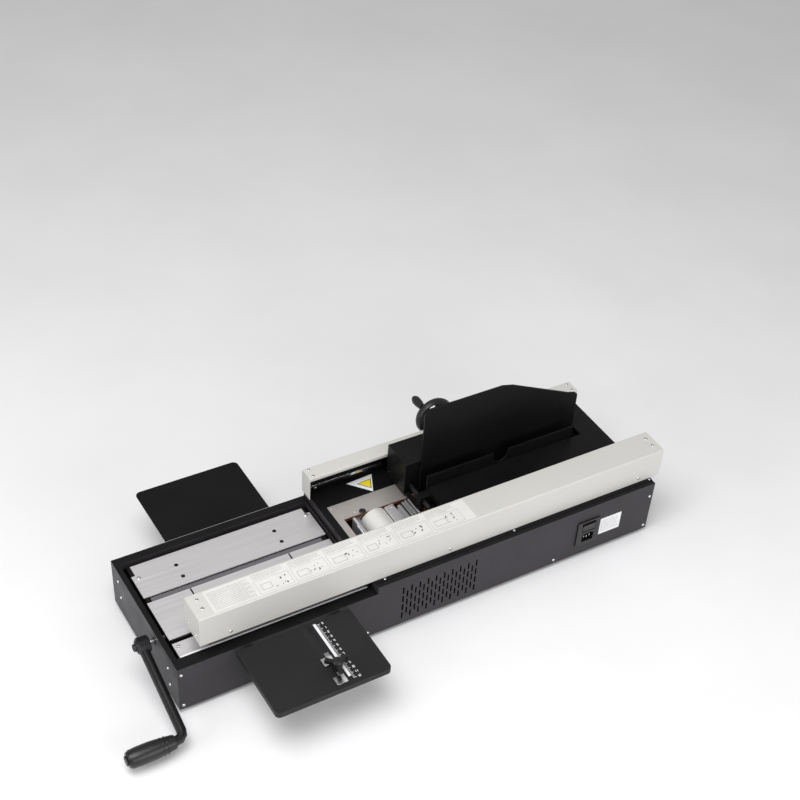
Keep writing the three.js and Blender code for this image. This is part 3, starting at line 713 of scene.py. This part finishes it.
def cover_screws():
    top = screw_row("front_rail_cover", "llh", [(15, 20, 0), (15, 40, 0)], UP, 3.1)
    top += screw_row("front_rail_cover", "hlh", [(-12.5, 18, 0), (-12.5, 38, 0)], UP, 3.1)
    side = screw_row("front_rail_cover", "lll", [(51, 0, 10), (443, 0, 10), (830, 0, 10)], FRONT, 2.7)
    rear = screw_row("rear_rail_cover", "llh", [(9, 5, 0), (9, 22, 0)], UP, 2.8)
    rear += screw_row("rear_rail_cover", "hlh", [(-9, 5, 0), (-9, 22, 0)], UP, 2.8)
    rear += screw_row("rear_rail_cover", "lhl", [(60, 0, 10), (274, 0, 10), (488, 0, 10)], BACK, 2.7)
    ends = screw_row("front_rail_cover", "lll", [(0, 14, 12), (0, 42, 12)], LEFT, 2.6)
    ends += screw_row("front_rail_cover", "hll", [(0, 14, 12), (0, 42, 12)], RIGHT, 2.6)
    screws("rail_cover_screws", "machine_body", top + side + rear + ends)
    strip_spots = [(18, 2.9, 0), (267, 2.9, 0), (553, 2.9, 0)]
    strip = screw_row("cover_support_strip", "llh", strip_spots, UP, 2.2)
    wall = screw_row("rear_rail_wall", "lll", [(13.5, 0, 7.5), (268, 0, 7.5), (524, 0, 7.5)], FRONT, 2.8)
    screws("rail_screws", "machine_body", strip + wall)


def body_screws():
    radius = BODY_SCREW_RADIUS
    left = screw_row("body_shell", "lll", BODY_END_SCREWS, LEFT, radius)
    right = screw_row("body_shell", "hll", BODY_END_SCREWS, RIGHT, radius)
    front_spots = [(6, 0, 79), (7, 0, 9), (330, 0, 9), (700, 0, 9)]
    front = screw_row("body_shell", "lll", front_spots, FRONT, radius)
    front += screw_row("body_shell", "hll", [(-7, 0, 79), (-7, 0, 9)], FRONT, radius)
    rear = screw_row("body_shell", "lhl", [(8, 0, 79), (8, 0, 9), (452, 0, 9)], BACK, radius)
    rear += screw_row("body_shell", "hhl", [(-8, 0, 79), (-8, 0, 9)], BACK, radius)
    screws("body_screws", "machine_body", left + right + front + rear)


def plate_screws():
    sunk_spots = [(74, 44.5, 0), (74, 17, 0), (249, 44.5, 0), (249, 17, 0)]
    sunk = screw_row("rear_nip_plate", "llh", sunk_spots, UP, 3.4)
    screws("nip_plate_sunk_screws", "nip_table", sunk, BLACK_SCREW, socket_dimple)
    domes = screw_row("rear_nip_plate", "llh", [(10, 44, 0), (313, 55, 0)], UP, 3.6)
    screws("nip_plate_dome_screws", "nip_table", domes)
    strip = screw_row("front_nip_strip", "llh", [(7, 25, 0), (160, 25, 0)], UP, 2.6)
    strip += screw_row("front_nip_strip", "hlh", [(-7, 25, 0)], UP, 2.6)
    screws("nip_strip_screws", "machine_body", strip)
    glue = screw_row("glue_cover_plate", "llh", [(6, 104, 0), (6, 5, 0), (37.5, 79.5, 0)], UP, 1.9)
    glue += screw_row("glue_cover_plate", "hlh", [(-6, 104, 0), (-6, 5, 0)], UP, 1.9)
    screws("glue_cover_screws", "machine_body", glue)


def jaw_screws():
    box_side = screw_row("clamp_drive_box", "lll", [(0, 9, 8), (0, 50, 8)], LEFT, 2.2)
    box_side += screw_row("clamp_drive_box", "hll", [(0, 50, 8)], RIGHT, 2.2)
    lid = screw_row("clamp_end_cover", "llh", [(14, 8, 0), (14, 122, 0)], UP, 2.0)
    screws("carriage_black_screws", "carriage", box_side + lid, BLACK_SCREW)


def dashes(b, node, x0, x1, y, height, seed):
    """A row of short dashes that only suggests a printed line."""
    pick = random.Random(seed)
    x = x0
    while x < x1 - 1.0:
        width = min(pick.uniform(*DASH_WIDTH), x1 - x)
        centre = corner(node, "llh", x + width / 2, y, PRINT_LIFT)
        slab(b, centre, UP, (width * MM, height * MM), PRINT_THICK)
        x += width + pick.uniform(*DASH_GAP)


def frame_lines(b, node, x0, x1, y0, y1, width):
    """Four printed lines round a rectangle on top of a node."""
    for y in (y0, y1):
        centre = corner(node, "llh", (x0 + x1) / 2, y, PRINT_LIFT)
        slab(b, centre, UP, ((x1 - x0) * MM, width * MM), PRINT_THICK)
    for x in (x0, x1):
        centre = corner(node, "llh", x, (y0 + y1) / 2, PRINT_LIFT)
        slab(b, centre, UP, (width * MM, (y1 - y0) * MM), PRINT_THICK)


def cover_print():
    """The strip on the front cover: a block of dashes, then six framed panels with plain shapes."""
    node = "front_rail_cover"

    def backing(b):
        size = ((STICKER_X[1] - STICKER_X[0]) * MM, (STICKER_Y[1] - STICKER_Y[0]) * MM)
        middle = corner(node, "llh", sum(STICKER_X) / 2, sum(STICKER_Y) / 2, 0.02)
        slab(b, middle, UP, size, 0.00008, fillet=0.0015)
    new_piece("cover_strip_backing", backing, PRINT_PALE, "machine_body", smooth=False)

    def lines(b):
        for row in range(TEXT_ROWS):
            end = PANEL_START - 6 - 9 * (row % 3 == 2)
            dashes(b, node, STICKER_X[0] + 4, end, 8 + row * TEXT_ROW_STEP, DASH_HEIGHT, row)
        for panel in range(PANEL_COUNT):
            x0 = PANEL_START + panel * PANEL_STEP
            x1 = x0 + PANEL_WIDTH
            for row in range(PANEL_ROWS):
                end = x1 - 4 - 12 * (row == 3)
                y = 48 - row * PANEL_ROW_STEP
                dashes(b, node, x0 + 1, end, y, PANEL_DASH_HEIGHT, 40 + panel * 7 + row)
            frame_lines(b, node, x0, x1, 7, 35, 0.35)
    new_piece("cover_strip_lines", lines, PRINT_GREY, "machine_body", smooth=False)

    def shapes(b):
        pick = random.Random(5)
        for panel in range(PANEL_COUNT):
            x0 = PANEL_START + panel * PANEL_STEP
            frame_lines(b, node, x0 + 7, x0 + 23 + 3 * (panel % 3), 13, 25, 0.4)
            for i in range(7):
                x = x0 + pick.uniform(27, 50)
                y = pick.uniform(12, 30)
                size = (pick.uniform(0.9, 4.6) * MM, pick.uniform(0.7, 2.6) * MM)
                centre = corner(node, "llh", x, y, PRINT_LIFT)
                slab(b, centre, UP, size, PRINT_THICK, turn=pick.uniform(0, 1.5))
    new_piece("cover_strip_shapes", shapes, PRINT_DARK, "machine_body", smooth=False)


def flat_polygon(b, points, thick):
    """A thin plate on a level surface from its corner points."""
    close_prism(b, *([b.verts.new(p + Vector((0, 0, z))) for p in points] for z in (0.0, thick)))


def triangle_label():
    """A plain white triangle with a yellow one in it, on the deck behind the glue unit."""
    base = [corner("body_shell", "llh", x, y, 0.05) for x, y in ((417, 240), (468, 243), (449, 203))]
    middle = sum(base, Vector()) / 3

    def grown(scale, lift, shift):
        return [middle + shift + (p - middle) * scale + Vector((0, 0, lift)) for p in base]
    inner = Vector((3.5, -3.0, 0)) * MM
    layers = (("white", 1.0, 0.0, Vector(), LABEL_WHITE), ("rim", 0.56, 0.00012, inner, LABEL_EDGE),
              ("yellow", 0.47, 0.0002, inner, LABEL_YELLOW))
    for name, scale, lift, shift, look in layers:
        points = grown(scale, lift, shift)
        new_piece("deck_label_" + name, lambda b, points=points: flat_polygon(b, points, 0.00012), look,
                  "machine_body", smooth=False)


def rating_plate():
    """A blank plate beside the inlet, with plain dashes where the real one is printed."""
    node = "body_shell"

    def plate(b):
        slab(b, corner(node, "lll", 814, -0.02, 49), FRONT, (0.047, 0.037), 0.0004, fillet=0.0006)
    new_piece("rating_plate", plate, LABEL_WHITE, "machine_body", smooth=False,
              bevel=0.0001)

    def marks(b):
        pick = random.Random(11)
        start, last_start, end = PLATE_PRINT_X
        for row in range(7):
            x = start
            while x < last_start:
                width = pick.uniform(1.5, 6.0)
                if x + width > end:
                    break
                centre = corner(node, "lll", x + width / 2, -0.43, 61 - row * 4)
                slab(b, centre, FRONT, (width * MM, 0.0008), PRINT_THICK)
                x += width + pick.uniform(0.8, 2.2)
    new_piece("rating_plate_marks", marks, PRINT_GREY, "machine_body", smooth=False)


SEGMENTS = {
    "0": "abcdef", "1": "bc", "2": "abged", "3": "abgcd", "4": "fgbc",
    "5": "afgcd", "6": "afgedc", "7": "abc", "8": "abcdefg", "9": "abcdfg",
}


def digit(b, centre, height, character):
    """A numeral made of up to seven bars, upright along +Y."""
    w, h, t = height * NUMERAL_WIDTH_RATIO, height / 2, height * NUMERAL_STROKE_RATIO
    bars = {
        "a": (0, h, w, t), "g": (0, 0, w, t), "d": (0, -h, w, t),
        "f": (-w / 2, h / 2, t, h), "b": (w / 2, h / 2, t, h),
        "e": (-w / 2, -h / 2, t, h), "c": (w / 2, -h / 2, t, h),
    }
    for key in SEGMENTS[character]:
        x, y, sx, sy = bars[key]
        slab(b, centre + Vector((x, y, 0)), UP, (sx + t * 0.5, sy + t * 0.5), PRINT_THICK)


def wing_scale():
    """The scale on the front wing: a pale bar, a tick every 2.5 mm, and a numeral every 10 mm."""
    node = "front_wing"

    def bar(b):
        slab(b, corner(node, "llh", *SCALE_BAR, 0.02), UP, (0.0046, 0.118), 0.0001)
    new_piece("scale_bar", bar, SCALE_INK, "machine_body", smooth=False)

    def marks(b):
        for step in range(TICK_COUNT):
            y = SCALE_TOP - step * TICK_STEP
            long = LONG_TICK if step % 4 == 0 else SHORT_TICK
            centre = corner(node, "llh", TICK_X + long / 2, y, 0.02)
            slab(b, centre, UP, (long * MM, 0.0007), PRINT_THICK)
        for count in range(NUMERAL_COUNT):
            y = SCALE_TOP - count * NUMERAL_STEP
            text = str(count)
            for i, character in enumerate(text):
                x = NUMERAL_X + (i - (len(text) - 1) / 2) * NUMERAL_PITCH
                digit(b, corner(node, "llh", x, y, 0.02), NUMERAL_HEIGHT, character)
    new_piece("scale_marks", marks, SCALE_INK, "machine_body", smooth=False)

    # Painted shadow: two dark strips beside the scale bar.
    def recess(b):
        slab(b, corner(node, "llh", 110.5, 78, 0.01), UP, (0.0095, 0.122), 0.00004)
        slab(b, corner(node, "llh", 126.8, 75.5, 0.01), UP, (0.0022, 0.124), 0.00004)
    new_piece("scale_shadow_lines", recess, SCALE_SHADOW, "machine_body", smooth=False)


def guide_clamp():
    """The bright pads of the side guide, on each side of the knob."""
    node = "guide_slider"

    def pads(b):
        for y0, y1 in ((-2, 14), (39, 55)):
            centre = corner(node, "llh", -0.9, (y0 + y1) / 2, 0.05)
            slab(b, centre, UP, (0.0125, (y1 - y0) * MM), 0.0013, fillet=0.001)
    new_piece("guide_pads", pads, SCREW_STEEL, "guide_slider", bevel=0.0003)

    def cap(b):
        top = hi("guide_knob").z
        middle = mid("guide_slider")
        profile = [(0.0062, 0), (0.0062, 0.0004), (0.0045, 0.0009), (0, 0.0010)]
        lathe(b, profile, (middle.x, middle.y, top - 0.0002), UP)
    new_piece("knob_cap", cap, LOOKS["black_plastic"], "guide_knob")


def wing_joint():
    """The bright steel edge where the rear wing meets the body, and a painted highlight along the nip
    strip's hem.
    """
    def line(b):
        left, right = lo("rear_wing").x, hi("rear_wing").x
        y = (hi("body_shell").y + lo("rear_wing").y) / 2
        size = (right - left, 0.0022)
        slab(b, ((left + right) / 2, y, hi("rear_wing").z - 0.0012), UP, size, 0.0011)
    new_piece("rear_wing_edge", line, SCREW_STEEL, "machine_body", bevel=0.0003)

    # Painted highlight: a near-white strip along the top of the nip strip's hem.
    def hem(b):
        low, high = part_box("front_nip_strip")
        centre = ((low.x + high.x) / 2, low.y + 0.00065, high.z - 0.0005)
        slab(b, centre, UP, (high.x - low.x, 0.0023), 0.0042)
    new_piece("nip_strip_painted_highlight", hem, PAINTED_HIGHLIGHT_EDGE, "machine_body", bevel=0.0001)


GRIP_RINGS = 9
GRIP_RING_STEP = 0.0068


def crank_details():
    """The hub's retaining screw and washer, and the grip's rings."""
    hub = corner("body_shell", "lll", -29, 88.6, 72)

    def screw(b):
        washer = [(0.0092, -0.0005), (0.0092, 0.0009), (0.0085, 0.0013), (0.006, 0.0013)]
        head = [(0.0062, 0.0012), (0.0062, 0.0048), (0.0056, 0.0054), (0.0034, 0.0054),
                (0.0032, 0.0024), (0, 0.0024)]
        lathe(b, washer, hub, LEFT, FINE_STEPS)
        lathe(b, head, hub, LEFT, FINE_STEPS)
    new_piece("crank_hub_screw", screw, BLACK_SCREW, "crank", bevel=0.0002)

    def rings(b):
        middle = mid("crank_grip")
        for i in range(GRIP_RINGS):
            along = (i - GRIP_RINGS // 2) * GRIP_RING_STEP
            swell = 0.0155 - 0.00028 * abs(i - 3)
            centre = (middle.x - 0.004 + along, middle.y, middle.z)
            profile = [(swell - 0.0012, -0.0011), (swell + 0.0001, -0.0005),
                       (swell + 0.0001, 0.0005), (swell - 0.0012, 0.0011)]
            lathe(b, profile, centre, RIGHT, GRIP_STEPS)
    new_piece("crank_grip_rings", rings, LOOKS["black_plastic"], "crank_grip")


def glue_details():
    """The small screws of the glue unit, the wiper's spring and the roller's bearings."""
    def small(b):
        for x, y in ((4, 12), (4, 48)):
            pan_screw(b, corner("scraper_bar", "llh", x + 8.5, y, 0), UP, 0.0019)
        for x, y in ((6, 6), (6, 60), (138, 60)):
            pan_screw(b, corner("glue_frame", "llh", x - 2.4, y - 2.0, 0), UP, 0.0016)
    new_piece("glue_unit_screws", small, SCREW_STEEL, "machine_body")

    def spring(b):
        start = corner("glue_frame", "llh", 20, 44, -1.4)
        turns, per_turn, coil, wire, length = 9, 14, 0.0026, 0.0005, 0.026
        rings = []
        for i in range(turns * per_turn + 1):
            a = 2 * math.pi * i / per_turn
            along = -length * i / (turns * per_turn)
            centre = start + Vector((coil * math.cos(a), along, coil * math.sin(a)))
            out = Vector((math.cos(a), 0, math.sin(a)))
            ring = [b.verts.new(centre + out * wire * math.cos(t) + Vector((0, wire * math.sin(t), 0)))
                    for t in (k * math.pi / 3 for k in range(6))]
            rings.append(ring)
        for one, two in zip(rings, rings[1:]):
            for k in range(6):
                b.faces.new((one[k], one[(k + 1) % 6], two[(k + 1) % 6], two[k]))
        b.faces.new(rings[-1])
        b.faces.new(list(reversed(rings[0])))
    new_piece("wiper_spring", spring, SCREW_STEEL, "machine_body")

    def bearings(b):
        middle = mid("glue_roller")
        for y, facing in ((lo("glue_tank").y, FRONT), (hi("glue_tank").y, BACK)):
            profile = [(0.0105, -0.0002), (0.0105, 0.0022), (0.0095, 0.003), (0.0064, 0.003),
                       (0.0064, -0.0002)]
            lathe(b, profile, (middle.x, y, middle.z), facing, FINE_STEPS)
    new_piece("roller_bearings", bearings, LOOKS["brass"], "machine_body")


def wheel_details():
    """A hub cap and the screw of the handwheel's grip."""
    grip = mid("handwheel_grip")
    hub = corner("clamp_drive_box", "lhl", 117, 0, 0)
    centre = Vector((hub.x, hi("handwheel").y, corner("clamp_drive_box", "lll", 0, 0, 52.7).z))

    def cap(b):
        face = centre.y - 0.0290
        profile = [(0.0085, 0), (0.0085, 0.0012), (0.0072, 0.0020), (0, 0.0023)]
        lathe(b, profile, (centre.x, face, centre.z), BACK, FINE_STEPS)
    new_piece("handwheel_cap", cap, BLACK_SCREW, "handwheel")

    def end(b):
        pan_screw(b, (grip.x, hi("handwheel").y - 0.0006, grip.z), BACK, 0.0032, 0.0006)
    new_piece("handwheel_grip_screw", end, SCREW_STEEL, "handwheel")


def inlet_details():
    """The inlet's fixing screws and its contacts."""
    node = "power_inlet"
    spots = screw_row(node, "lll", [(4.6, 1.2, 28), (43.4, 1.2, 28)], FRONT, 1.9)
    screws("inlet_screws", "machine_body", spots, BLACK_SCREW)

    def contacts(b):
        low = lo(node)
        for x in (18, 24, 30):
            slab(b, (low.x + x * MM, low.y + 0.0058, low.z + 0.0166), FRONT, (0.0019, 0.0045), 0.003)
    new_piece("inlet_contacts", contacts, SCREW_STEEL, "machine_body", bevel=0.0002)


make_camera()
make_light()
make_floor()
finish_cad_nodes()
cover_screws()
body_screws()
plate_screws()
jaw_screws()
cover_print()
triangle_label()
rating_plate()
wing_scale()
guide_clamp()
wing_joint()
crank_details()
glue_details()
wheel_details()
inlet_details()
